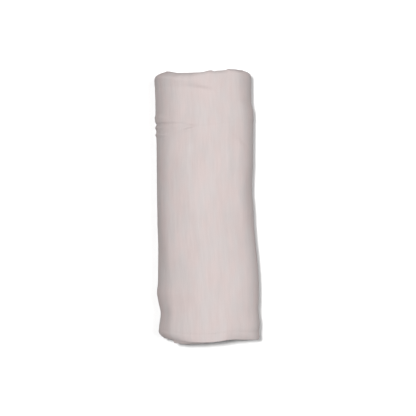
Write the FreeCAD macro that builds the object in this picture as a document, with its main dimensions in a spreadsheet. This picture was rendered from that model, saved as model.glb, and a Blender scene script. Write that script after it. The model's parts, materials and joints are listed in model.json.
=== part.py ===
"""Rolled baby wrap sling: one long hemmed cloth, folded in four and rolled up, with a loose tail.

The roll lies on its flattened underside with its long axis along Y and its floor at z = 0.
The fold of the cloth is at the +Y end, and both long hems lie together at the -Y end.
All sizes are in millimetres.
"""
import FreeCAD
import Part
import Sketcher
import math
import os

# Driving dimensions: alias -> (value, what it measures)
SIZES = {
    "bundle_length": (300.0, "half the cloth's width, from its fold to its hems"),
    "section_width": (107.0, "roll without the tail, side to side"),
    "section_height": (75.0, "roll without the tail, floor to crown"),
    "side_radius": (34.5, "round of each side of the roll"),
    "stack": (2.6, "four layers of cloth, one turn of the roll"),
    "clearance": (0.3, "air between pieces that move apart"),
    "end_recess": (5.0, "how far the inner turns sit inside each end"),
    "hinge_offset": (16.0, "where the tail lifts, right of the middle of the section"),
    "tail_end_height": (27.0, "loose end of the tail above the floor"),
    "hem_depth": (10.0, "sewn edge, from the raw fold to the stitch line"),
    "thread_width": (0.8, "width of a sewn line"),
    "thread_rise": (0.2, "how proud a sewn line stands of the cloth"),
    "thread_gap": (2.0, "unsewn length left where a sewn line meets a fold"),
    "label_width": (26.0, "care label along the hem"),
    "label_length": (21.0, "care label below the hem"),
    "label_thickness": (0.4, "folded satin ribbon of the care label"),
    "label_inset": (62.0, "care label's middle from the hemmed end"),
    "marker_width": (10.0, "middle marker ribbon"),
    "marker_length": (4.0, "middle marker beyond the rolled edge that it is sewn to"),
    "marker_thickness": (0.8, "folded ribbon of the middle marker"),
    "beyond": (20.0, "how far a trimming box reaches past the cloth"),
}

CROWN = (
    "(Sizes.section_height + (Sizes.section_width / 2 - Sizes.side_radius) ^ 2"
    " / (Sizes.section_height - 2 * Sizes.side_radius)) / 2"
)
MIDDLE_SHIFT = "-(Sizes.clearance + Sizes.stack) / 2"


def size(alias):
    """The number behind a driving dimension."""
    return SIZES[alias][0]


def write_sheet(doc):
    """Put every driving dimension in the spreadsheet, one named cell each."""
    sheet = doc.addObject("Spreadsheet::Sheet", "Sizes")
    for row, (alias, (value, meaning)) in enumerate(SIZES.items(), start=1):
        sheet.set(f"A{row}", str(value))
        sheet.setAlias(f"A{row}", alias)
        sheet.set(f"B{row}", meaning)
    doc.recompute()


def grown(terms):
    """Expression and number for an offset from the roll's section, such as {"stack": -1}."""
    text = "0"
    for alias, share in terms.items():
        text += f" + {share} * Sizes.{alias}"
    return text, sum(share * size(alias) for alias, share in terms.items())


def bind(sketch, constraint, name, expression):
    """Add a constraint, name it and tie it to the sheet."""
    index = sketch.addConstraint(constraint)
    sketch.renameConstraint(index, name)
    sketch.setExpression(f"Constraints.{name}", expression)


def add_outline(sketch, name, terms):
    """Closed section of the roll, grown by terms: flat base, two round sides, a shallow crown."""
    text, grow = grown(terms)
    side = size("side_radius")
    reach = size("section_width") / 2 - side
    spare = size("section_height") - 2 * side
    crown = (size("section_height") + reach**2 / spare) / 2
    crown_centre = size("section_height") - crown
    meet = math.atan2(side - crown_centre, reach)

    def arc(x, z, radius, start, end):
        circle = Part.Circle(FreeCAD.Vector(x, z, 0), FreeCAD.Vector(0, 0, 1), radius)
        return sketch.addGeometry(Part.ArcOfCircle(circle, start, end))

    base = sketch.addGeometry(
        Part.LineSegment(FreeCAD.Vector(-reach, -grow, 0), FreeCAD.Vector(reach, -grow, 0))
    )
    right = arc(reach, side, side + grow, -math.pi / 2, meet)
    top = arc(0, crown_centre, crown + grow, meet, math.pi - meet)
    left = arc(-reach, side, side + grow, math.pi - meet, 1.5 * math.pi)

    ring = [base, right, top, left]
    for piece, following in zip(ring, ring[1:] + ring[:1]):
        sketch.addConstraint(Sketcher.Constraint("Tangent", piece, 2, following, 1))
    sketch.addConstraint(Sketcher.Constraint("Equal", right, left))
    sketch.addConstraint(Sketcher.Constraint("Symmetric", right, 3, left, 3, -2))
    bind(
        sketch,
        Sketcher.Constraint("DistanceX", -1, 1, right, 3, reach),
        f"{name}_side_x",
        "Sizes.section_width / 2 - Sizes.side_radius",
    )
    bind(
        sketch,
        Sketcher.Constraint("DistanceY", -1, 1, right, 3, side),
        f"{name}_side_z",
        "Sizes.side_radius",
    )
    bind(
        sketch,
        Sketcher.Constraint("Radius", right, side + grow),
        f"{name}_side",
        f"Sizes.side_radius + {text}",
    )
    bind(
        sketch,
        Sketcher.Constraint("Radius", top, crown + grow),
        f"{name}_crown",
        f"{CROWN} + {text}",
    )


def section_sketch(body, name):
    """Empty sketch on the body's own XZ plane: sketch x is X and sketch y is Z."""
    sketch = body.newObject("Sketcher::SketchObject", name)
    plane = next(item for item in body.Origin.OriginFeatures if item.Role == "XZ_Plane")
    sketch.AttachmentSupport = (plane, "")
    sketch.MapMode = "FlatFace"
    return sketch


def pad_both_ways(body, sketch, length):
    """Pad the sketch along Y, half of the length each way."""
    pad = body.newObject("PartDesign::Pad", f"{sketch.Name}_pad")
    pad.Profile = sketch
    pad.SideType = "Symmetric"
    pad.setExpression("Length", length)
    sketch.Visibility = False
    return pad


def place(item, across=MIDDLE_SHIFT, along="0", up="0"):
    """Tie an object's position to the sheet."""
    item.setExpression(".Placement.Base.x", across)
    item.setExpression(".Placement.Base.y", along)
    item.setExpression(".Placement.Base.z", up)


def rolled_body(doc, name, outlines, length, along="0"):
    """Body made of one or two outlines of the roll, padded along the roll."""
    body = doc.addObject("PartDesign::Body", name)
    sketch = section_sketch(body, f"{name}_section")
    for number, terms in enumerate(outlines):
        add_outline(sketch, f"outline{number}", terms)
    pad_both_ways(body, sketch, length)
    place(body, along=along)
    return body


def trimmed_ring(doc, name, inner, outer, length, along, box_from, box_to):
    """Ring between two outlines, kept only inside a box given by X and Z expressions."""
    ring = rolled_body(doc, f"{name}_ring", [outer, inner], length, along)
    box = doc.addObject("Part::Box", f"{name}_box")
    box.setExpression("Length", f"{box_to[0]} - ({box_from[0]})")
    box.setExpression("Width", "Sizes.bundle_length + 2 * Sizes.beyond")
    box.setExpression("Height", f"{box_to[1]} - ({box_from[1]})")
    place(
        box,
        across=f"{MIDDLE_SHIFT} + {box_from[0]}",
        along="-Sizes.bundle_length / 2 - Sizes.beyond",
        up=box_from[1],
    )
    kept = doc.addObject("Part::Common", name)
    kept.Base = ring
    kept.Tool = box
    return kept


def ribbon_tab(doc, name, thickness, length, width):
    """Folded ribbon hanging from its sewn edge, with its fold rounded at the bottom."""
    body = doc.addObject("PartDesign::Body", name)
    sketch = section_sketch(body, f"{name}_section")
    half = size(thickness) / 2
    drop = size(length) - half
    corners = [(half, -drop), (half, 0), (-half, 0), (-half, -drop)]
    lines = []
    for start, end in zip(corners, corners[1:]):
        line = Part.LineSegment(FreeCAD.Vector(*start, 0), FreeCAD.Vector(*end, 0))
        lines.append(sketch.addGeometry(line))
    circle = Part.Circle(FreeCAD.Vector(0, -drop, 0), FreeCAD.Vector(0, 0, 1), half)
    fold = sketch.addGeometry(Part.ArcOfCircle(circle, math.pi, 2 * math.pi))
    for line, following in zip(lines, lines[1:]):
        sketch.addConstraint(Sketcher.Constraint("Coincident", line, 2, following, 1))
    sketch.addConstraint(Sketcher.Constraint("Tangent", lines[2], 2, fold, 1))
    sketch.addConstraint(Sketcher.Constraint("Tangent", fold, 2, lines[0], 1))
    sketch.addConstraint(Sketcher.Constraint("Horizontal", lines[1]))
    sketch.addConstraint(Sketcher.Constraint("Vertical", lines[0]))
    sketch.addConstraint(Sketcher.Constraint("Symmetric", lines[1], 1, lines[1], 2, -1, 1))
    bind(sketch, Sketcher.Constraint("Radius", fold, half), "fold", f"Sizes.{thickness} / 2")
    bind(
        sketch,
        Sketcher.Constraint("DistanceY", fold, 3, -1, 1, drop),
        "drop",
        f"Sizes.{length} - Sizes.{thickness} / 2",
    )
    pad_both_ways(body, sketch, f"Sizes.{width}")
    return body


def make_cloth(doc):
    """The cloth in three pieces: inner turns, outer turn and the loose tail lying on it."""
    far_right = "Sizes.section_width / 2 + Sizes.beyond"
    far_up = "Sizes.section_height + Sizes.beyond"
    inner_roll = rolled_body(
        doc,
        "inner_roll",
        [{"stack": -1, "clearance": -1}],
        "Sizes.bundle_length - 2 * Sizes.end_recess",
    )
    outer_turn = rolled_body(doc, "outer_turn", [{}, {"stack": -1}], "Sizes.bundle_length")
    tail = trimmed_ring(
        doc,
        "tail",
        {"clearance": 1},
        {"clearance": 1, "stack": 1},
        "Sizes.bundle_length",
        "0",
        ("Sizes.hinge_offset", "Sizes.tail_end_height"),
        (far_right, far_up),
    )
    return [inner_roll, outer_turn, tail]


def make_stitching(doc):
    """Sewn lines: along the long hem on the outer turn and on the tail, and along the end hem."""
    on_turn = {}
    above_turn = {"thread_rise": 1}
    on_tail = {"clearance": 1, "stack": 1}
    above_tail = {"clearance": 1, "stack": 1, "thread_rise": 1}
    long_hem = "-Sizes.bundle_length / 2 + Sizes.hem_depth"
    end_hem = "Sizes.tail_end_height + Sizes.hem_depth"
    far_left = "-Sizes.section_width / 2 - Sizes.beyond"
    far_right = "Sizes.section_width / 2 + Sizes.beyond"
    far_up = "Sizes.section_height + Sizes.beyond"
    turn_hem = trimmed_ring(
        doc,
        "long_hem_stitching",
        on_turn,
        above_turn,
        "Sizes.thread_width",
        long_hem,
        (far_left, "Sizes.hem_depth"),
        ("Sizes.hinge_offset - Sizes.thread_gap", far_up),
    )
    tail_hem = trimmed_ring(
        doc,
        "tail_long_hem_stitching",
        on_tail,
        above_tail,
        "Sizes.thread_width",
        long_hem,
        ("Sizes.hinge_offset + Sizes.thread_gap", f"{end_hem} + Sizes.thread_gap"),
        (far_right, far_up),
    )
    tail_end = trimmed_ring(
        doc,
        "tail_end_hem_stitching",
        on_tail,
        above_tail,
        "Sizes.bundle_length - 2 * Sizes.thread_gap",
        "0",
        ("Sizes.hinge_offset", end_hem),
        (far_right, f"{end_hem} + Sizes.thread_width"),
    )
    return [turn_hem, tail_hem, tail_end]


def make_care_label(doc):
    """Blank care label, caught in the end hem and hanging free below it."""
    label = ribbon_tab(doc, "care_label", "label_thickness", "label_length", "label_width")
    side_drop = "(Sizes.side_radius - Sizes.tail_end_height)"
    middle_radius = "(Sizes.side_radius + Sizes.clearance + Sizes.stack / 2)"
    place(
        label,
        across=(
            f"{MIDDLE_SHIFT} + Sizes.section_width / 2 - Sizes.side_radius"
            f" + sqrt({middle_radius} ^ 2 - {side_drop} ^ 2)"
        ),
        along="-Sizes.bundle_length / 2 + Sizes.label_inset",
        up="Sizes.tail_end_height - Sizes.label_thickness",
    )
    return label


def make_middle_marker(doc):
    """Blank ribbon tab on the rolled edge in the eye of the roll, at the middle of the cloth."""
    marker = ribbon_tab(doc, "middle_marker", "marker_thickness", "marker_length", "marker_width")
    thin_way_up = FreeCAD.Rotation(
        FreeCAD.Vector(0, 0, 1), FreeCAD.Vector(1, 0, 0), FreeCAD.Vector(0, 1, 0), "XYZ"
    )
    marker.Placement = FreeCAD.Placement(FreeCAD.Vector(), thin_way_up)
    place(
        marker,
        along="-Sizes.bundle_length / 2 + Sizes.end_recess",
        up="Sizes.section_height / 2",
    )
    return marker


def check(doc, parts):
    """Stop if any feature failed or any sub-part is not one sound solid."""
    for item in doc.Objects:
        if "Invalid" in item.State or "Error" in item.State:
            raise RuntimeError(f"{item.Name} failed: {item.State}")
    for part in parts:
        shape = part.Shape
        if shape.isNull() or not shape.isValid() or len(shape.Solids) != 1:
            raise RuntimeError(f"{part.Label} is not one valid solid")


def export(parts):
    """Write one STEP file for each sub-part and print its size."""
    os.makedirs("parts", exist_ok=True)
    for part in parts:
        part.Shape.exportStep(f"parts/{part.Label}.step")
        box = part.Shape.BoundBox
        print(
            f"{part.Label}: {part.Shape.Volume / 1000:.3f} cm3,"
            f" x {box.XMin:.2f}..{box.XMax:.2f}, y {box.YMin:.2f}..{box.YMax:.2f},"
            f" z {box.ZMin:.2f}..{box.ZMax:.2f}"
        )


def main():
    """Build, check and export the rolled wrap."""
    doc = FreeCAD.newDocument("baby_wrap_sling")
    write_sheet(doc)
    parts = make_cloth(doc)
    parts += make_stitching(doc)
    parts.append(make_care_label(doc))
    parts.append(make_middle_marker(doc))
    doc.recompute()
    check(doc, parts)
    export(parts)


main()
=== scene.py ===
"""Rolled baby wrap sling: the looks of one long hemmed cloth, folded in four and rolled up.

The cloth is built as what it is. It is folded in half across its width, so the fold is at +Y and
both long hems are at -Y, and then in half along its length, so each turn is four layers. Those
four layers follow one flattened spiral, from the loose tail on the right into the eye of the roll.
Lengths are in millimetres until a mesh is made.
"""
import json
import math

import bpy
import numpy as np
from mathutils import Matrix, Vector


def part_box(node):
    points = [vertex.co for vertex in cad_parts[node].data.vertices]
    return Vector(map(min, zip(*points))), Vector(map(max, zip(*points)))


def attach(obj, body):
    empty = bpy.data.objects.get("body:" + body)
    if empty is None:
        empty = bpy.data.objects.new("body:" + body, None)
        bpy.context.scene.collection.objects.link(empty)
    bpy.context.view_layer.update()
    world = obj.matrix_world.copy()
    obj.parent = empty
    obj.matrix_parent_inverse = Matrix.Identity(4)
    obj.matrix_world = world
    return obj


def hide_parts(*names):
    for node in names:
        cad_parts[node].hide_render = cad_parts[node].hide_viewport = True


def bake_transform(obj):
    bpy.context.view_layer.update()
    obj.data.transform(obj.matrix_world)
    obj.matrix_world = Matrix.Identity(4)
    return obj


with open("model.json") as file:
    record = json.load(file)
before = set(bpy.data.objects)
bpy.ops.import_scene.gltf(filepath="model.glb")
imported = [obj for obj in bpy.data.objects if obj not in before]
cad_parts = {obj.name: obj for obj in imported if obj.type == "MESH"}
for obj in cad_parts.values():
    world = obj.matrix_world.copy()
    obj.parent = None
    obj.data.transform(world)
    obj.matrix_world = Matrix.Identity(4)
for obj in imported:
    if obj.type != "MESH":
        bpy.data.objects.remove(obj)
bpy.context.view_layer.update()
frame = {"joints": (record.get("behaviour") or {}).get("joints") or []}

MM = 0.001

# Sizes read from the frame
turn_low, turn_high = [np.array(corner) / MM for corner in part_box("outer_turn")]
tail_low, tail_high = [np.array(corner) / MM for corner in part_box("tail")]
label_low, label_high = [np.array(corner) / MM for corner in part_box("care_label")]
marker_low, marker_high = [np.array(corner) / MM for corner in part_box("middle_marker")]
hinge_places = {joint["name"]: joint["pos_m"] for joint in frame["joints"]}
HINGE_X = hinge_places["tail_peel"][0] / MM

MIDDLE_X = (turn_low[0] + turn_high[0]) / 2
WIDTH = turn_high[0] - turn_low[0]
HEIGHT = turn_high[2] - turn_low[2]
LENGTH = turn_high[1] - turn_low[1]
TAIL_RISE = tail_high[0] - turn_high[0]
TAIL_END = tail_low[2]

# The cloth. A turn of the roll is a stack of four layers: two strips of two layers each
CLOTH_WIDTH = 600.0
CLOTH_LENGTH = 5000.0
STACK = 2.54
LAYER = STACK / 4
# From the middle of a strip to its outer faces and to its inner ones, so a layer is 0.45 thick
FACE = 0.58
INSIDE = 0.13
# Depth of the hems, and their stitches: how far in from the edge, and how far apart
HEM = 10.0
STITCH_LINE = 9.2
STITCH_PITCH = 3.2

# The flattened section that every turn is an offset of: flat base, round sides, arched crown
SIDE_RADIUS = 34.5
REACH = WIDTH / 2 - SIDE_RADIUS
CROWN = (HEIGHT + REACH**2 / (HEIGHT - 2 * SIDE_RADIUS)) / 2
CROWN_Z = HEIGHT - CROWN
MEET = math.atan2(SIDE_RADIUS - CROWN_Z, REACH)
TAIL_ANGLE = math.asin((TAIL_END - SIDE_RADIUS) / (SIDE_RADIUS + TAIL_RISE / 2))

# Straight or round runs of the section, from the tail's end anticlockwise:
# centre x, centre z, radius, first angle, last angle, and a straight run's length
RUNS = [
    (REACH, SIDE_RADIUS, SIDE_RADIUS, TAIL_ANGLE, MEET, 0),
    (0, CROWN_Z, CROWN, MEET, math.pi - MEET, 0),
    (-REACH, SIDE_RADIUS, SIDE_RADIUS, math.pi - MEET, 1.5 * math.pi, 0),
    (-REACH, SIDE_RADIUS, SIDE_RADIUS, 1.5 * math.pi, 1.5 * math.pi, 2 * REACH),
    (REACH, SIDE_RADIUS, SIDE_RADIUS, 1.5 * math.pi, 2 * math.pi + TAIL_ANGLE, 0),
]
RUN_LENGTHS = [radius * (last - first) + straight for _, _, radius, first, last, straight in RUNS]
TURN = sum(RUN_LENGTHS)
# How far round the left side the outer cloth goes before it ends, low down
SPLIT_ANGLE = math.radians(108)
# Distances round the section to the tail's hinge, and to the end of the outer cloth
HINGE_AT = RUN_LENGTHS[0] + CROWN * (math.acos((HINGE_X - MIDDLE_X) / CROWN) - MEET)
SPLIT_AT = sum(RUN_LENGTHS[:2]) + SIDE_RADIUS * SPLIT_ANGLE
# Share of a turn over which the cloth steps down onto the turn below
STEP_DOWN = 0.36
# Sideways lean of the roll for its height, and how much more it leans at the near end
LEAN = 0.04
NEAR_LEAN = 0.08
# Ledge of the lower turns at the near end: how far short of the roll's end it stops, and how far
# left of the middle it starts
LEDGE_INSET = 1.2
LEDGE_LEFT = 48.0


def smooth(value, start, end):
    """0 before start, 1 after end, and an even S between."""
    t = np.clip((value - start) / (end - start), 0, 1)
    return t * t * (3 - 2 * t)


def hill(value, middle, width):
    """Bell of height 1."""
    return np.exp(-(((value - middle) / width) ** 2))


def lattice_noise(a, b, seed):
    """Smooth noise from -1 to 1 over a plane, from a seeded lattice with unit cells."""
    cells = 64
    grid = np.random.RandomState(seed).uniform(-1, 1, (cells, cells))
    cell_a, cell_b = np.floor(a).astype(int), np.floor(b).astype(int)
    part_a, part_b = smooth(a - cell_a, 0, 1), smooth(b - cell_b, 0, 1)
    here_a, next_a = cell_a % cells, (cell_a + 1) % cells
    here_b, next_b = cell_b % cells, (cell_b + 1) % cells
    low = grid[here_a, here_b] * (1 - part_a) + grid[next_a, here_b] * part_a
    high = grid[here_a, next_b] * (1 - part_a) + grid[next_a, next_b] * part_a
    return low * (1 - part_b) + high * part_b


def section(distance):
    """Point on the section, x and z, and the outward normal's angle, at a distance round it."""
    along = np.mod(distance, TURN)
    x, z, angle = np.zeros_like(along), np.zeros_like(along), np.zeros_like(along)
    start = 0.0
    for (centre_x, centre_z, radius, first, last, straight), length in zip(RUNS, RUN_LENGTHS):
        here = (along >= start) & (along <= start + length)
        into = along[here] - start
        turned = first + (0 if straight else into / radius)
        x[here] = centre_x + radius * np.cos(turned) + (into if straight else 0)
        z[here] = centre_z + radius * np.sin(turned)
        angle[here] = turned
        start += length
    return x, z, angle


def spiral_rise(distance):
    """How far the cloth's outer face stands out from the section: a step down over each crown."""
    turns = (distance - HINGE_AT) / TURN
    whole = np.floor(turns)
    step = smooth(turns - whole, 0, STEP_DOWN)
    tail = np.where(whole < 0, TAIL_RISE, TAIL_RISE * (1 - step))
    return np.where(whole < 1, tail, -STACK * (whole - 1 + step))


def rounding(inside, radius):
    """How far a rounded corner has curved away, for a distance inside the end it curves to."""
    steepest = 0.94
    return radius * (1 - np.sqrt(1 - np.clip(1 - inside / radius, 0, steepest) ** 2))


def top_hem(x):
    """Y of the hem along the top of the outer turn: it bows out a little left of the middle."""
    bow = 2.5 * (1 - hill(x, -12, 42)) + 0.2 * np.sin(x / 11)
    edge = -LENGTH / 2 + 3.4 + bow + 1.4 * hill(x, 20, 13)
    return edge - 0.6 * smooth(x, 40, 52) + 0.9 * smooth(-x, 28, 44)


def top_fold(x):
    """Y of the fold along the top of the outer turn, with a small notch and peak on the right."""
    edge = LENGTH / 2 - 3.0 + 1.1 * np.tanh((x - 3) / 5) + 2.7 * smooth(-x, 33, 52)
    edge += 2.0 * hill(x, 39, 11) + 1.2 * smooth(x, 44, 52)
    return edge + 1.0 * hill(x, 32.0, 2.5) - 0.8 * hill(x, 14.7, 1.8) + 0.4 * hill(x, 9.0, 3.5)


def hem_edge(distance, x, z):
    """Y of the hem at the near end: even on top, with a ledge of lower turns on the left."""
    deep = -spiral_rise(distance)
    upper = smooth(z, HEIGHT / 2 - 12, HEIGHT / 2 + 12)
    # the ledge starts sharply on the second turn, and more gently on the deeper ones and below
    blunt = np.maximum(smooth(deep, 2.6, 6.0), 1 - upper)
    start = smooth(x, 4 * blunt - LEDGE_LEFT, 4.0 + 18 * blunt - LEDGE_LEFT)
    reach = top_hem(x) + LENGTH / 2 - LEDGE_INSET + 1.8 * (1 - smooth(x, -36.0, -14.0))
    ledge = reach * start * (1 - smooth(x, -14.0, 4.0))
    # share of it that a turn has: none on top of the outer turn, and all of it just below
    share = smooth(deep, 0.0, 0.9) * (1 - 0.25 * smooth(deep, 3.0, 12.0)) * upper + 0.75 * (1 - upper)
    uneven = 1.2 + 0.6 * np.sin(distance / 61.0) + 0.4 * np.sin(distance / 23.0 + 1)
    return top_hem(x) + uneven * smooth(distance, TURN - 60, TURN) - ledge * share


def fold_edge(distance, x, z):
    """Y of the fold at the far end: the outer turn reaches furthest, and a little less below."""
    under = 1 - smooth(z, HEIGHT / 2 - 16, HEIGHT / 2 + 10)
    outer = top_fold(x) - (1.2 - 0.6 * np.sin(distance / 19.0)) * under
    inner = LENGTH / 2 - 5.6 + 0.8 * np.sin(distance / 47.0 + 2) + 0.5 * np.sin(distance / 17.0)
    return outer + (inner - outer) * smooth(distance, TURN - 90, TURN + 10)


def hem_band(from_edge):
    """1 on the doubled cloth of a hem, and 0 beyond it."""
    return 1 - smooth(from_edge, HEM - 0.9, HEM + 0.5)


def soft_unevenness(x, y):
    """Broad, narrow and fine unevenness of soft cloth, drawn out along the roll."""
    lift = 0.75 * lattice_noise(x / 17 + 9, y / 80 + 3, 1)
    lift += 0.22 * lattice_noise(x / 7 + 5, y / 50 + 8, 2)
    return lift + 0.05 * lattice_noise(x / 2.4, y / 34, 3)


def puffed_fold(x, y):
    """Puffed fold at the far end, with a soft valley along its foot and a hollow on the crown."""
    half = LENGTH / 2
    on_left = (1 - smooth(x, -8, 28)) * smooth(x, -58, -50)
    valley = half - 17 - 0.22 * (x + 13)
    foot = half - 20.5 - 0.05 * (x + 20)
    lift = 2.2 * smooth(y, valley - 3.0, valley + 3.0) * on_left
    lift += 1.0 * (1 - np.exp(-np.maximum(y - foot, 0) / 4)) * on_left
    return lift - 0.8 * hill(y, half - 44, 9) * hill(x, 4, 20)


def lapped_line(x, y):
    """Tight line across the roll: the part towards the fold laps down, deepest on the left."""
    line = LENGTH / 2 - 58.2 - 3.2 * smooth(x, -28, -8) + 0.115 * np.maximum(x + 6, 0)
    lapped = smooth(y - line, -1.1, 1.1) * np.exp(-np.maximum(y - line, 0) / 9)
    lift = (0.35 + 0.95 * (1 - smooth(x, -38, -14))) * lapped
    return lift + 0.5 * hill(y, line - 3.8, 2.0) * (1 - smooth(x, -46, -14))


def slanting_creases(x, y):
    """Short slanting wrinkle beside the tight line, and a slanting crease by the right side."""
    half = LENGTH / 2
    slant = half - 63 + 0.22 * (x + 18)
    lift = 0.6 * hill(y, slant - 2.9, 1.8) * hill(x, -18, 9.0)
    lift -= 1.1 * hill(y, slant, 1.4) * hill(x, -18, 8.0)
    diagonal = 1.414
    beyond = (x - 40.5 + y - half + 80) / diagonal
    beside = (x - 40.5 - y + half - 80) / diagonal
    return lift + 0.9 * (0.5 - smooth(beyond, -2.0, 2.5)) * hill(beyond, 0, 9) * hill(beside, 0, 11)


def slack_fold(x, y):
    """Long slack fold left of the middle: a sharp rise on its right and a gentle one on its left."""
    across = x + 23 + 0.17 * y + 0.8 * np.sin(y / 13)
    return -0.9 * hill(across, 0, np.where(across > 0, 4.0, 12.0)) * hill(y, -33, 30)


def full_sides(x, y):
    """Fuller shoulders, and the dents and small pleats of both sides."""
    lift = 1.9 * hill(x, 41, 9) * smooth(y, -30, 10) + 0.6 * hill(x, -46, 8) * hill(y, 10, 60)
    left_shoulder = smooth(x, -52, -42) * (1 - smooth(x, -43, -12))
    lift += left_shoulder * (2.1 * hill(y, -50, 24) + 0.5 * hill(y, -98, 12) + 1.8 * hill(y, -128, 17))
    # softer places along the right side
    lift += 0.5 * hill(x, 27, 7) * hill(y, 78, 14) - 0.9 * smooth(x, 30, 48) * hill(y, 13, 17)
    # dent in the left side near the hem
    lift -= 2.2 * hill(x, -53, 12) * hill(y, -118, 10)
    # pleats on the left side: how far in from the far end, width and height
    left = 1 - smooth(x, -50, -36)
    for inset, width, height in ((52, 2.4, 0.9), (59, 1.6, -0.7), (63.5, 1.8, 0.9), (71, 1.5, 1.3)):
        lift += height * hill(y, LENGTH / 2 - inset, width) * left
    return lift


def hem_relief(distance, x, y):
    """Thicker band of the hems, puckered along the stitches; the long hem hangs down a little."""
    from_edge = y - top_hem(x)
    lift = 0.28 * hem_band(from_edge) - 0.22 * hill(from_edge, STITCH_LINE, 0.8)
    lift += 0.06 * hill(from_edge, STITCH_LINE, 2.2) * np.sin(distance * 2 * math.pi / STITCH_PITCH)
    lift -= (0.15 + 0.35 * smooth(x, -5, 30)) * np.clip(1 - from_edge / HEM, 0, 1) ** 1.6
    lift -= 0.8 * hill(from_edge, STITCH_LINE - 0.5, 2.6) * smooth(x, 8, 30)
    # the short end's hem
    return lift + 0.2 * hem_band(distance) - 0.2 * hill(distance, STITCH_LINE, 0.8)


def creases(distance, x, y):
    """Wrinkles of the outer turn, as a distance outwards, by place seen from above."""
    lift = soft_unevenness(x, y) + puffed_fold(x, y) + lapped_line(x, y) + slanting_creases(x, y)
    lift += slack_fold(x, y) + full_sides(x, y) + hem_relief(distance, x, y)
    deepest = -2.2
    return np.maximum(lift, deepest) * (1 - smooth(distance, SPLIT_AT - 22, SPLIT_AT - 2))


def creases_below(distance, x, y):
    """Wrinkles of the layers under the outermost one: the lowest place of those just above."""
    nearby = [creases(distance, x, y + step) for step in (-1.6, 0.0, 1.6)]
    return np.minimum.reduce(nearby)


def side_places(y):
    """X of the roll's left and right sides, seen from above: a soft flare to the lower right."""
    left = -54.0 - 3.3 * np.clip((y + 10) / (LENGTH / 2), 0, 1) + 1.2 * smooth(-y, 12, 50)
    left += -1.2 * hill(y, -94, 7) + 0.5 * hill(y, -115, 9) + 0.4 * smooth(-y, 118, 128)
    right = 50.0 + 0.2 * hill(y, 92, 18) - 1.9 * smooth(y, 104, 116) + 0.5 * smooth(y, 34, 48)
    right += 0.9 * hill(y, 0, 13) + 7.0 * smooth(-y, -12, 93)
    right += 1.2 * smooth(-y, 118, 127) - 0.6 * hill(y, -111, 5)
    return left, right


def settle(x, y, z):
    """Soft lie of the whole roll: a slight lean and flare, and rounded ends."""
    core_z = HEIGHT / 2
    on_top = z > core_z
    to_fold = top_fold(x) - y
    to_hem = y - top_hem(x)
    # fold rounded over all round; the pull is held back by the core, or it would cross the middle
    fold_round = 5.4 + 3.2 * (1 - smooth(x, -22, -2))
    from_core = np.maximum(np.hypot(x, z - core_z), 12.0)
    pull = 1 - rounding(to_fold, fold_round) / from_core
    # hem hanging down a little on the right, and the ledge a little where it sticks out
    near_end = np.clip((HEM - to_hem) / HEM, 0, 1.3) ** 1.3
    droop = np.where(on_top, 0.17 * smooth(x, 6, 40), 0.02)
    ledge_droop = np.where(on_top, 0.055 * np.clip(-to_hem, 0, 6.0), 0.0)
    # corners rounded in plan
    left_corner = rounding(to_fold, 11.5) + rounding(to_hem, 8.0)
    right_corner = rounding(to_fold, 5.5)
    corner = np.where(x < 0, left_corner, right_corner) / (WIDTH / 2)
    x = x * (pull - corner)
    z = core_z + (z - core_z) * (pull - droop * near_end - ledge_droop)
    left, right = side_places(y)
    scale = (right - left) / (WIDTH + TAIL_RISE)
    lean = LEAN + NEAR_LEAN * smooth(-y, -60, 130)
    return left + (x + WIDTH / 2) * scale + lean * (z - core_z), y, z


def cloth_point(distance, y, depth, along=0.0, wrinkled=False):
    """Place of the cloth: how far round the spiral, its Y, and how deep below the outer face."""
    distance, y, depth = np.broadcast_arrays(distance, y, depth)
    x, z, angle = section(distance)
    rise = spiral_rise(distance)
    out_x, out_z = np.cos(angle), np.sin(angle)
    face_x = x + rise * out_x
    lift = 0.0
    if wrinkled:
        outermost = depth < LAYER / 2
        lift = np.where(outermost, creases(distance, face_x, y), creases_below(distance, face_x, y))
    loose = 0.1 * lattice_noise(distance / 31, y / 47, 7) * smooth(distance, TURN, 1.3 * TURN)
    out = rise + lift + loose - depth
    place_x = x + out * out_x - along * out_z
    place_z = z + out * out_z + along * out_x
    return np.stack(settle(place_x, y, np.maximum(place_z, 0.0)), axis=-1)


def spaced(*parts):
    """Evenly spaced places over one or more parts, each with its start, end and step."""
    return list(np.concatenate([np.arange(start, end, step) for start, end, step in parts]))


def fold_arc(radius, degrees):
    """Rows of a strip's outline that go round its fold."""
    return [(0, 1.0, radius * math.cos(a), radius * math.sin(a)) for a in np.radians(degrees)]


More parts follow.
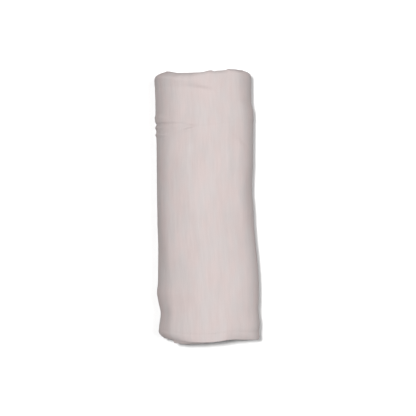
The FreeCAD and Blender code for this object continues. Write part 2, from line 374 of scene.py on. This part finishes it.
def cloth_profile(detail):
    """One strip's outline across its width: two layers of cloth joined by the fold at the far end.

    detail is "creased" for the outermost strip, "plain" for the one under it, or "coarse".
    Rows hold: layer (0 or 1), share of the way from hem to fold, extra Y, offset towards layer 0.
    The marks are the rows where the outline turns in at the hem, and where its inner side ends.
    """
    half = CLOTH_WIDTH / 2
    near_hem = [0.0, 0.5, 1.6, 4.0, 6.5, 8.2, 8.8, 9.3, 9.8, 10.6, 12.5]
    near_fold = [9.0, 6.5, 5.0, 4.0, 3.2, 2.5, 1.9, 1.4, 1.0, 0.6, 0.3]
    hidden = [0.0, 1.0, 5.0, HEM - 0.5, HEM + 0.5]
    if detail == "coarse":
        middle = spaced((17.0, half - 14.0, 16.0))
        hidden += [30.0, 90.0, 150.0, 210.0, 270.0, half - 4, half - 0.5]
    else:
        middle = spaced((20.0, half - 80.0, 12.0), (half - 78.0, half - 12.0, 3.0))
        hidden += spaced((20.0, half - 80.0, 12.0), (half - 78.0, half - 7.0, 3.0))
        hidden += [half - gap for gap in (5.0, 3.0, 1.2, 0.4)]
    if detail == "creased":
        plain, wrinkled = (15.0, half - 76.0, 2.3), (half - 75.0, half - 42.0, 0.9)
        middle = spaced(plain, wrinkled, (half - 41.0, half - 13.0, 1.5))
    shown = near_hem + middle + [half - gap for gap in near_fold]

    rows = [(0, place / half, 0.0, FACE) for place in shown]
    rows += fold_arc(FACE, [90, 60, 30, 0, -30, -60, -90])
    rows += [(1, place / half, 0.0, -FACE) for place in reversed(hidden)]
    turn_out = len(rows)
    rows += [(1, 0.0, -0.14, -(FACE + INSIDE) / 2)]
    turn_in = len(rows)
    rows += [(1, place / half, 0.0, -INSIDE) for place in hidden]
    rows += fold_arc(INSIDE, [-90, 0, 90])
    # the shown layer is doubled inwards along its hem
    rows += [(0, place / half, 0.0, INSIDE if place > HEM else -0.1) for place in reversed(hidden)]
    inner_end = len(rows)
    rows += [(0, 0.0, -0.2, 0.1), (0, 0.0, -0.2, 0.4)]
    return np.array(rows), (turn_out, turn_in, inner_end)


def strip_points(distance, angle, profile, wrinkled):
    """Points of one strip swept along the spiral. angle is 0 on the way in and pi on the way out."""
    layer, share, extra, towards = profile.T
    x, z, _ = section(distance)
    near, far = hem_edge(distance, x, z), fold_edge(distance, x, z)
    # a strip's second layer, and the strip on the way out, stop a little short of the one above
    way_out = angle > 1
    second_layer = 3.2 + 1.3 * np.sin(distance / 29.0)
    low = near[:, None] + np.where(layer[None, :] > 0, second_layer[:, None], 0.0)
    low = low + np.where(way_out, 1.4, 0.0)[:, None]
    high = far[:, None] - FACE - np.where(way_out, 1.1, 0.0)[:, None]
    y = low + (high - low) * share[None, :] + extra[None, :]
    arm = LAYER + towards[None, :]
    depth = 2 * LAYER - arm * np.cos(angle)[:, None]
    along = arm * np.sin(angle)[:, None]
    return cloth_point(distance[:, None] + 0 * y, y, depth, along, wrinkled)


def cloth_uv(points, profile, start_length):
    """UV in metres of flat cloth: U along the cloth from start_length, and V across it."""
    half = CLOTH_WIDTH / 2
    steps = np.linalg.norm(np.diff(points[:, 0], axis=0), axis=1)
    length = start_length + np.concatenate([[0.0], np.cumsum(steps)])
    layer, share = profile[:, 0], profile[:, 1]
    across = np.where(layer > 0, 2 * half - share * half, share * half)
    grid = np.stack(np.broadcast_arrays(length[:, None], across[None, :]), axis=-1)
    return grid * MM


def tube_faces(rings, size, offset):
    """Quads round and along a swept closed outline."""
    ring = np.arange(rings - 1)[:, None] * size + offset
    here = np.arange(size)[None, :]
    there = (here + 1) % size
    quads = np.stack([ring + here, ring + there, ring + size + there, ring + size + here], axis=-1)
    return quads.reshape(-1, 4)


def cap_faces(profile, marks, offset, flip):
    """Triangles that close a strip's cut end, zipped between its outer and inner outlines."""
    turn_out, turn_in, inner_end = marks
    outer = list(range(turn_out))
    inner = list(range(inner_end - 1, turn_in - 1, -1))
    place = profile[:, 0] * 2 + np.where(profile[:, 0] > 0, -profile[:, 1], profile[:, 1])
    faces = []
    i, j = 0, 0
    while i < len(outer) - 1 or j < len(inner) - 1:
        inner_done = j == len(inner) - 1
        outer_left = i < len(outer) - 1
        if inner_done or (outer_left and place[outer[i + 1]] <= place[inner[j + 1]]):
            face = (outer[i], inner[j], outer[i + 1])
            i += 1
        else:
            face = (outer[i], inner[j], inner[j + 1])
            j += 1
        faces.append([offset + corner for corner in (face[::-1] if flip else face)])
    return faces


def make_mesh(name, points, faces, uv=None):
    """Smooth mesh object from points in millimetres, in the frame's metres."""
    mesh = bpy.data.meshes.new(name)
    mesh.from_pydata((np.asarray(points) * MM).tolist(), [], [list(map(int, face)) for face in faces])
    mesh.polygons.foreach_set("use_smooth", np.ones(len(mesh.polygons), bool))
    if uv is not None:
        corners = np.zeros(len(mesh.loops), int)
        mesh.loops.foreach_get("vertex_index", corners)
        mesh.uv_layers.new(name="cloth").data.foreach_set("uv", np.asarray(uv)[corners].ravel())
    mesh.validate()
    mesh.update()
    piece = bpy.data.objects.new(name, mesh)
    bpy.context.scene.collection.objects.link(piece)
    return piece


def spiral_measures():
    """Distance round the spiral that takes up half of the cloth, and the cloth's length to SPLIT_AT."""
    most_turns = 14
    steps_in_a_turn = 400
    distance = np.linspace(0, most_turns * TURN, most_turns * steps_in_a_turn)
    x, z, angle = section(distance)
    out = spiral_rise(distance) - STACK / 2
    place = np.stack([x + out * np.cos(angle), z + out * np.sin(angle)], axis=-1)
    steps = np.linalg.norm(np.diff(place, axis=0), axis=1)
    length = np.concatenate([[0.0], np.cumsum(steps)])
    half_rolled = float(np.interp(CLOTH_LENGTH / 2, length, distance))
    to_split = float(np.interp(SPLIT_AT, distance, length))
    return half_rolled, to_split


def make_outer_cloth():
    """Loose tail and the part of the outer turn above it, up to the lower left of the roll."""
    distance = np.arange(0, SPLIT_AT, 1.3)
    distance = np.append(distance[:-1], SPLIT_AT)
    points, faces, uvs = [], [], []
    total = 0
    way_in = (0.0, "creased", 0.0)
    way_out = (math.pi, "plain", CLOTH_LENGTH - SPLIT_LENGTH)
    for angle, detail, start in (way_in, way_out):
        profile, marks = cloth_profile(detail)
        grid = strip_points(distance, np.full_like(distance, angle), profile, True)
        uv = cloth_uv(grid, profile, start)
        faces += tube_faces(len(distance), len(profile), total).tolist()
        points.append(grid.reshape(-1, 3))
        uvs.append(uv.reshape(-1, 2))
        total += grid.shape[0] * grid.shape[1]
        # the loose end is closed
        faces += cap_faces(profile, marks, total, angle > 1)
        points.append(grid[0])
        uvs.append(uv[0])
        total += len(profile)
    return make_mesh("outer_cloth", np.concatenate(points), faces, np.concatenate(uvs))


def make_rolled_cloth():
    """Rest of the cloth as one strip: in along the spiral, round at the eye, and out again."""
    # rows lie closest where this piece meets the outer cloth, and furthest apart inside the roll
    seam_end = SPLIT_AT + 24
    seam = np.arange(SPLIT_AT, seam_end, 1.5)
    first = np.arange(seam_end, SPLIT_AT + TURN, 2.6)
    inner = np.arange(SPLIT_AT + TURN, SPIRAL_END, TURN / 38)
    way_in = np.concatenate([seam, first, inner, [SPIRAL_END]])
    eye = np.radians([36, 72, 108, 144])
    distance = np.concatenate([way_in, np.full(len(eye), SPIRAL_END), way_in[::-1]])
    angle = np.concatenate([np.zeros(len(way_in)), eye, np.full(len(way_in), math.pi)])
    profile, _ = cloth_profile("coarse")
    grid = strip_points(distance, angle, profile, False)
    uv = cloth_uv(grid, profile, SPLIT_LENGTH)
    faces = tube_faces(len(distance), len(profile), 0)
    return make_mesh("rolled_cloth", grid.reshape(-1, 3), faces, uv.reshape(-1, 2))


SPIRAL_END, SPLIT_LENGTH = spiral_measures()
outer_cloth = make_outer_cloth()
rolled_cloth = make_rolled_cloth()


def stitch_run(name, centres, along, across, normal):
    """Row of single stitches: flat lozenges of thread with rounded ends, sunk at both ends."""
    half_length, half_width, proud = 1.15, 0.24, 0.13
    rings = 7
    sides = 6
    points, faces = [], []
    for centre, forward, side, out in zip(centres, along, across, normal):
        offset = len(points)
        for t in np.linspace(-1, 1, rings):
            size = math.sqrt(max(0.0, 1 - t**4)) * 0.96 + 0.04
            lift = proud * (1 - 1.5 * t**4)
            for k in range(sides):
                turn = 2 * math.pi * k / sides
                offset_side = half_width * size * math.cos(turn)
                offset_out = lift + 0.7 * half_width * size * math.sin(turn)
                points.append(centre + forward * half_length * t + side * offset_side + out * offset_out)
        faces += tube_faces(rings, sides, offset).tolist()
        faces.append([offset + k for k in range(sides)][::-1])
        faces.append([offset + (rings - 1) * sides + k for k in range(sides)])
    return make_mesh(name, np.array(points), faces)


def surface_frames(distance, y, wrinkled):
    """Points on the outer face with unit vectors along the cloth, across it and outwards."""
    def on_face(place, across):
        return cloth_point(place, across, LAYER - FACE, 0.0, wrinkled)

    step = 0.4
    centre = on_face(distance, y)
    along = on_face(distance + step, y) - on_face(distance - step, y)
    across = on_face(distance, y + step) - on_face(distance, y - step)
    along /= np.linalg.norm(along, axis=-1, keepdims=True)
    across /= np.linalg.norm(across, axis=-1, keepdims=True)
    normal = np.cross(across, along)
    return centre, along, across, normal


def long_hem_stitches(name, start, end, wrinkled):
    """Stitches along the long hem, between two distances round the spiral."""
    distance = np.arange(start + 2, end - 2, STITCH_PITCH)
    x, z, _ = section(distance)
    y = hem_edge(distance, x, z) + STITCH_LINE
    centre, along, across, normal = surface_frames(distance, y, wrinkled)
    return stitch_run(name, centre, along, across, normal)


def end_hem_stitches(name):
    """Stitches along the short end's hem, on the tail, clear of the long hem and the fold."""
    clear = 14
    y = np.arange(-LENGTH / 2 + clear, LENGTH / 2 - clear, STITCH_PITCH)
    distance = np.full_like(y, STITCH_LINE)
    centre, along, across, normal = surface_frames(distance, y, True)
    return stitch_run(name, centre, across, along, normal)


# The hem's stitches stop where the roll covers them
LAST_STITCH = SPLIT_AT + 0.75 * TURN
hem_thread_outer = long_hem_stitches("long_hem_stitches", 0, SPLIT_AT, True)
hem_thread_under = long_hem_stitches("long_hem_stitches_under", SPLIT_AT, LAST_STITCH, False)
hem_thread_end = end_hem_stitches("end_hem_stitches")


def ribbon_loop(width, length, gap, bend, rows=26, columns=10):
    """Folded ribbon: two leaves joined by a round fold. It hangs down from its sewn edge at z = 0."""
    thickness = 0.14
    loop = gap / 2 + thickness
    straight = length - loop
    round_fold = np.radians([30, 60, 90, 120, 150])
    path = [(loop, -straight * k / rows) for k in range(rows + 1)]
    path += [(loop * math.cos(a), -straight - loop * math.sin(a)) for a in round_fold]
    path += [(-loop, -straight * k / rows) for k in range(rows, -1, -1)]
    path = np.array(path)
    normals = [(1.0, 0.0)] * (rows + 1)
    normals += [(math.cos(a), -math.sin(a)) for a in round_fold]
    normals += [(-1.0, 0.0)] * (rows + 1)
    normals = np.array(normals)
    outline = [(side, 0.0) for side in np.linspace(-width / 2, width / 2, columns + 1)]
    outline += [(side, -thickness) for side in np.linspace(width / 2, -width / 2, columns + 1)]
    outline = np.array(outline)
    x = path[:, 0:1] + normals[:, 0:1] * outline[None, :, 1]
    z = path[:, 1:2] + normals[:, 1:2] * outline[None, :, 1]
    y = np.broadcast_to(outline[None, :, 0], x.shape)
    # a slight curl and skew towards the loose end
    down = np.clip(-z / length, 0, 1)
    x = x + bend * down**2 * length * (0.5 + y / width) + 0.35 * np.sin(y / width * 5 + 1) * down
    grid = np.stack([x, y + 0.6 * down**2, z], axis=-1)
    size = len(outline)
    faces = tube_faces(len(path), size, 0)[:, ::-1].tolist()
    faces.append(list(range(size)))
    faces.append([(len(path) - 1) * size + k for k in range(size)][::-1])
    return grid.reshape(-1, 3), faces


def make_care_label():
    """Blank satin care label below the tail's hem."""
    size = label_high - label_low
    points, faces = ribbon_loop(size[1], size[2], gap=0.1, bend=0.07)
    top = (label_low + label_high) / 2
    top[2] = label_high[2]
    return make_mesh("care_label_ribbon", points + top, faces)


def make_middle_marker():
    """Blank ribbon tab sewn to the innermost layer, on the floor of the eye."""
    leaf = 9.0
    width = marker_high[0] - marker_low[0]
    points, faces = ribbon_loop(width, leaf, gap=0.3, bend=0.0, rows=8, columns=8)
    # laid flat, with its loose end curling up a little
    flat = np.stack([points[:, 1], points[:, 2], points[:, 0]], axis=-1)
    flat[:, 2] += 0.012 * np.clip(-flat[:, 1] - 4.0, 0, None) ** 2
    last_base = math.floor(SPIRAL_END / TURN) * TURN - RUN_LENGTHS[4] - REACH
    sewn = cloth_point(np.array(last_base), np.array(marker_low[1] + leaf), 3 * LAYER + FACE)
    middle = (marker_low[0] + marker_high[0]) / 2
    place = np.array([middle, sewn[1] + 2.5, sewn[2] + 0.42])
    return make_mesh("middle_marker_ribbon", flat + place, faces)


care_label = make_care_label()
middle_marker = make_middle_marker()

# Colours, as linear red, green, blue and alpha
CLOTH_DARK = (0.325, 0.286, 0.279, 1.0)
CLOTH_LIGHT = (0.401, 0.357, 0.350, 1.0)
CLOTH_GREY = (0.356, 0.328, 0.326, 1.0)
CLOTH_PINK = (0.385, 0.321, 0.314, 1.0)
THREAD_DARK = (0.291, 0.254, 0.246, 1.0)
THREAD_LIGHT = (0.385, 0.338, 0.331, 1.0)
SATIN_DARK = (0.470, 0.461, 0.446, 1.0)
SATIN_LIGHT = (0.583, 0.573, 0.559, 1.0)
MARKER_DARK = (0.226, 0.179, 0.175, 1.0)
MARKER_LIGHT = (0.320, 0.263, 0.256, 1.0)
FLOOR_WHITE = (0.70, 0.70, 0.70, 1.0)


def new_material(name):
    """Node material with its tree, its shader, and a helper that adds a node and sets its inputs."""
    material = bpy.data.materials.new(name)
    material.use_nodes = True
    tree = material.node_tree
    shader = next(node for node in tree.nodes if node.type == "BSDF_PRINCIPLED")

    def add(kind, inputs=(), **settings):
        node = tree.nodes.new(kind)
        for key, value in settings.items():
            setattr(node, key, value)
        for key, value in dict(inputs).items():
            if isinstance(value, bpy.types.NodeSocket):
                tree.links.new(value, node.inputs[key])
            else:
                node.inputs[key].default_value = value
        return node

    return material, tree, shader, add


def weighted_sum(add, *terms):
    """Sum of node outputs, each times its own weight."""
    (first, weight), *others = terms
    total = add("ShaderNodeMath", {0: first, 1: weight}, operation="MULTIPLY").outputs[0]
    for socket, weight in others:
        total = add("ShaderNodeMath", {0: socket, 1: weight, 2: total}, operation="MULTIPLY_ADD").outputs[0]
    return total


def cloth_material():
    """Thin woven cloth: fine even weave, slubs across the cloth's width, soft uneven dye."""
    material, tree, shader, add = new_material("wrap_cloth_weave")
    uv = add("ShaderNodeUVMap", uv_map="cloth").outputs["UV"]
    parts = add("ShaderNodeSeparateXYZ", {0: uv})
    thread_pitch = 0.00052

    def wave(socket):
        turns = 2 * math.pi / thread_pitch
        scaled = add("ShaderNodeMath", {0: socket, 1: turns}, operation="MULTIPLY")
        return add("ShaderNodeMath", {0: scaled.outputs[0]}, operation="SINE").outputs[0]

    def stretched(scale_u, scale_v, detail):
        mapped = add("ShaderNodeVectorMath", {0: uv, 1: (scale_u, scale_v, 1.0)}, operation="MULTIPLY")
        noise = add("ShaderNodeTexNoise", {0: mapped.outputs[0], "Scale": 1.0, "Detail": detail})
        return noise.outputs[0]

    slubs = stretched(900, 48, 3.0)
    ribs = stretched(260, 22, 2.0)
    clouds = stretched(38, 26, 2.0)
    warp, weft = wave(parts.outputs[0]), wave(parts.outputs[1])
    weave = add("ShaderNodeMath", {0: warp, 1: weft}, operation="MULTIPLY").outputs[0]

    # shade from the threads, and blush from soft patches of dye. Inputs 1 to 4 of a map range are
    # its low and high before and after, and inputs 6 and 7 of a colour mix are its two colours
    tone = weighted_sum(add, (slubs, 0.45), (ribs, 0.35), (clouds, 0.35), (weave, 0.05))
    ramp = add("ShaderNodeValToRGB", {0: tone})
    ramp.color_ramp.elements[0].position = 0.38
    ramp.color_ramp.elements[0].color = CLOTH_DARK
    ramp.color_ramp.elements[1].position = 0.76
    ramp.color_ramp.elements[1].color = CLOTH_LIGHT
    patches = add("ShaderNodeMapRange", {0: stretched(85, 34, 1.0), 1: 0.36, 2: 0.64})
    blush = add("ShaderNodeMix", {0: patches.outputs[0], 6: CLOTH_GREY, 7: CLOTH_PINK}, data_type="RGBA")
    blush.clamp_factor = True
    colour = add("ShaderNodeMix", {0: 0.5, 6: ramp.outputs[0], 7: blush.outputs[2]}, data_type="RGBA")
    tree.links.new(colour.outputs[2], shader.inputs["Base Color"])

    height = weighted_sum(add, (weave, 0.35), (slubs, 1.3), (ribs, 1.6))
    bump = add("ShaderNodeBump", {"Height": height, "Strength": 0.5, "Distance": 0.00012})
    tree.links.new(bump.outputs[0], shader.inputs["Normal"])
    fuzz = add("ShaderNodeMapRange", {0: slubs, 3: 0.82, 4: 0.98})
    tree.links.new(fuzz.outputs[0], shader.inputs["Roughness"])
    shader.inputs["Specular IOR Level"].default_value = 0.05
    shader.inputs["Sheen Weight"].default_value = 0.015
    shader.inputs["Sheen Roughness"].default_value = 0.6
    shader.inputs["Sheen Tint"].default_value = (0.95, 0.88, 0.87, 1.0)
    return material


def thread_material():
    """Sewing thread: two plies wound round each other, a shade deeper than the cloth."""
    material, tree, shader, add = new_material("hem_thread_plies")
    place = add("ShaderNodeTexCoord").outputs["Object"]
    winding = {0: place, "Scale": 900.0, "Distortion": 1.5}
    plies = add("ShaderNodeTexWave", winding, wave_type="BANDS", bands_direction="DIAGONAL")
    ramp = add("ShaderNodeValToRGB", {0: plies.outputs[0]})
    ramp.color_ramp.elements[0].color = THREAD_DARK
    ramp.color_ramp.elements[1].color = THREAD_LIGHT
    tree.links.new(ramp.outputs[0], shader.inputs["Base Color"])
    bump = add("ShaderNodeBump", {"Height": plies.outputs[0], "Strength": 0.4, "Distance": 0.00005})
    tree.links.new(bump.outputs[0], shader.inputs["Normal"])
    shader.inputs["Roughness"].default_value = 0.55
    shader.inputs["Specular IOR Level"].default_value = 0.35
    return material


def satin_material(name, dark, light):
    """Satin ribbon: fine cross ribs with a soft gloss."""
    material, tree, shader, add = new_material(name)
    place = add("ShaderNodeTexCoord").outputs["Object"]
    ribbing = {0: place, "Scale": 520.0, "Distortion": 0.4}
    ribs = add("ShaderNodeTexWave", ribbing, wave_type="BANDS", bands_direction="Z")
    fibres = add("ShaderNodeTexNoise", {0: place, "Scale": 700.0, "Detail": 2.0})
    mixed = weighted_sum(add, (ribs.outputs[0], 0.5), (fibres.outputs[0], 0.5))
    ramp = add("ShaderNodeValToRGB", {0: mixed})
    ramp.color_ramp.elements[0].color = dark
    ramp.color_ramp.elements[1].color = light
    tree.links.new(ramp.outputs[0], shader.inputs["Base Color"])
    bump = add("ShaderNodeBump", {"Height": mixed, "Strength": 0.35, "Distance": 0.00005})
    tree.links.new(bump.outputs[0], shader.inputs["Normal"])
    shader.inputs["Roughness"].default_value = 0.38
    shader.inputs["Sheen Weight"].default_value = 0.1
    return material


weave = cloth_material()
thread = thread_material()
for piece in (outer_cloth, rolled_cloth):
    piece.data.materials.append(weave)
for piece in (hem_thread_outer, hem_thread_under, hem_thread_end):
    piece.data.materials.append(thread)
care_label.data.materials.append(satin_material("label_satin_ribs", SATIN_DARK, SATIN_LIGHT))
middle_marker.data.materials.append(satin_material("marker_ribbon_ribs", MARKER_DARK, MARKER_LIGHT))


# Which pieces follow the CAD bodies, and which stay where they are made
def across_hinge(piece):
    """Bake a piece's place into its mesh; it lies as made, between the roll and the tail."""
    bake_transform(piece)


across_hinge(outer_cloth)
across_hinge(hem_thread_outer)
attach(rolled_cloth, "roll")
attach(hem_thread_under, "roll")
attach(hem_thread_end, "tail")
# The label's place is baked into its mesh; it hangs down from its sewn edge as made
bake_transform(care_label)
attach(middle_marker, "roll")

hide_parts("tail")
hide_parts("inner_roll", "outer_turn")
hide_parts("long_hem_stitching", "tail_long_hem_stitching")
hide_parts("tail_end_hem_stitching")
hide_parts("care_label")
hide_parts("middle_marker")


def make_stage():
    """White floor under the roll."""
    reach = 3.0
    level = -0.0002
    corners = [(x * reach, y * reach, level) for x, y in ((-1, -1), (1, -1), (1, 1), (-1, 1))]
    mesh = bpy.data.meshes.new("floor")
    mesh.from_pydata(corners, [], [(0, 1, 2, 3)])
    floor = bpy.data.objects.new("floor", mesh)
    bpy.context.scene.collection.objects.link(floor)
    material, _, shader, _ = new_material("white_floor")
    shader.inputs["Base Color"].default_value = FLOOR_WHITE
    shader.inputs["Roughness"].default_value = 0.9
    shader.inputs["Specular IOR Level"].default_value = 0.0
    mesh.materials.append(material)


def make_softbox(name, place, size, energy):
    """Round soft light aimed at the roll."""
    light = bpy.data.lights.new(name, "AREA")
    light.shape = "DISK"
    light.size = size
    light.energy = energy
    lamp = bpy.data.objects.new(name, light)
    lamp.location = place
    lamp.rotation_mode = "QUATERNION"
    lamp.rotation_quaternion = (-lamp.location).to_track_quat("-Z", "Y")
    bpy.context.scene.collection.objects.link(lamp)


def make_lights():
    """Soft overhead studio light: a key from the far left and a broad fill from the right."""
    world = bpy.data.worlds.new("surround")
    world.use_nodes = True
    background = next(node for node in world.node_tree.nodes if node.type == "BACKGROUND")
    background.inputs["Color"].default_value = (1.0, 1.0, 1.0, 1.0)
    background.inputs["Strength"].default_value = 0.03
    bpy.context.scene.world = world
    make_softbox("key", place=(-0.38, 0.28, 4.0), size=0.38, energy=208.0)
    make_softbox("fill", place=(1.45, 0.25, 4.0), size=1.6, energy=108.0)


def make_camera():
    """Camera straight above the roll, with the roll's length upright in the picture."""
    distance = 2.6
    shown_width = 0.4576
    aim_x, aim_y = 0.0013, -0.0011
    camera = bpy.data.cameras.new("camera")
    camera.sensor_width = 36.0
    camera.lens = camera.sensor_width * (distance - HEIGHT / 2 * MM) / shown_width
    holder = bpy.data.objects.new("camera", camera)
    holder.location = (aim_x, aim_y, distance)
    bpy.context.scene.collection.objects.link(holder)
    bpy.context.scene.camera = holder


make_stage()
make_lights()
make_camera()
bpy.context.scene.view_settings.view_transform = "Standard"
